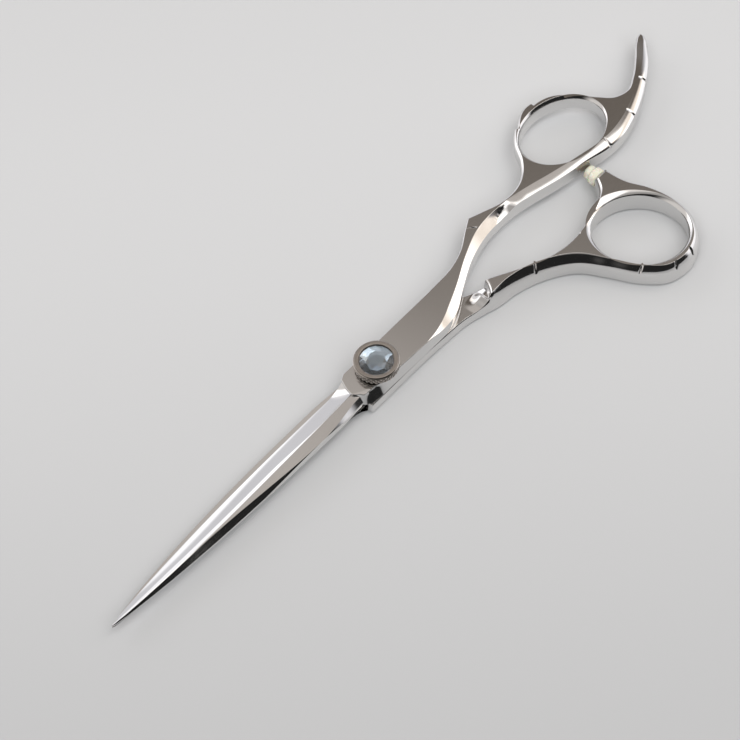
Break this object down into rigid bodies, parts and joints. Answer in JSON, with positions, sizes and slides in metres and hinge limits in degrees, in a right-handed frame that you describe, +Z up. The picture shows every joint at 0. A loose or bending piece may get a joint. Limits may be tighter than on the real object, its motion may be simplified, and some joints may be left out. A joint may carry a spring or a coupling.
{
  "type": "hair cutting shears",
  "caption": "Polished hair cutting shears with an offset thumb ring, a finger rest, a ball-bearing pivot, a click tension dial set with a stone, and a silicone stop.",
  "frame": {"origin": "pivot axis, in the flat underside of the pivot bolt's head, which is the plane the shears lie on", "axes": "+X along the closed blades to their tips, +Z up along the pivot axis to the dial, +Y to the thumb ring's side"},
  "size_m": [0.1797, 0.0519, 0.0092],
  "materials": {
    "polished_steel": "mirror-polished stainless steel",
    "hardened_steel": "ground and hardened steel",
    "turned_steel": "turned and knurled stainless steel",
    "bearing_bronze": "sintered bronze",
    "cage_brass": "stamped brass",
    "white_ptfe": "skived white PTFE",
    "clear_silicone": "slightly yellowed clear silicone",
    "mirror_foil": "silvered foil back",
    "pale_blue_crystal": "cut and polished pale blue glass"
  },
  "bodies": {
    "thumb_side": {"thumb_half": "polished_steel", "bumper": "clear_silicone", "pivot_bolt": "hardened_steel", "blade_washer": "white_ptfe", "upper_race": "hardened_steel", "wave_spring": "hardened_steel"},
    "finger_side": {"finger_half": "polished_steel", "pivot_bush": "bearing_bronze", "lower_race": "hardened_steel"},
    "bearing": {"bearing_cage": "cage_brass", "bearing_ball_01": "hardened_steel", "bearing_ball_02": "hardened_steel", "bearing_ball_03": "hardened_steel", "bearing_ball_04": "hardened_steel", "bearing_ball_05": "hardened_steel", "bearing_ball_06": "hardened_steel", "bearing_ball_07": "hardened_steel", "bearing_ball_08": "hardened_steel", "bearing_ball_09": "hardened_steel", "bearing_ball_10": "hardened_steel"},
    "click_plate": {"click_washer": "hardened_steel"},
    "dial": {"tension_dial": "turned_steel", "stone_foil": "mirror_foil", "stone": "pale_blue_crystal"}
  },
  "joints": [
    {"name": "blade_pivot", "type": "hinge", "parent": "thumb_side", "child": "finger_side", "pos_m": [0, 0, 0.0033], "axis": [0, 0, 1], "range_deg": [0, 90]},
    {"name": "bearing_turn", "type": "hinge", "parent": "thumb_side", "child": "bearing", "pos_m": [0, 0, 0.0055], "axis": [0, 0, 1], "range_deg": [0, 45]},
    {"name": "tension_slide", "type": "slide", "parent": "thumb_side", "child": "click_plate", "axis": [0, 0, 1], "range_m": [-0.0000583, 0.000175], "deforming": ["wave_spring"]},
    {"name": "dial_turn", "type": "hinge", "parent": "click_plate", "child": "dial", "pos_m": [0, 0, 0.0075], "axis": [0, 0, 1], "range_deg": [-60, 180]}
  ],
  "couplings": [
    {"joint": "bearing_turn", "follows": "blade_pivot", "ratio": 0.5},
    {"joint": "dial_turn", "follows": "tension_slide", "rad_per_m": 17952}
  ]
}
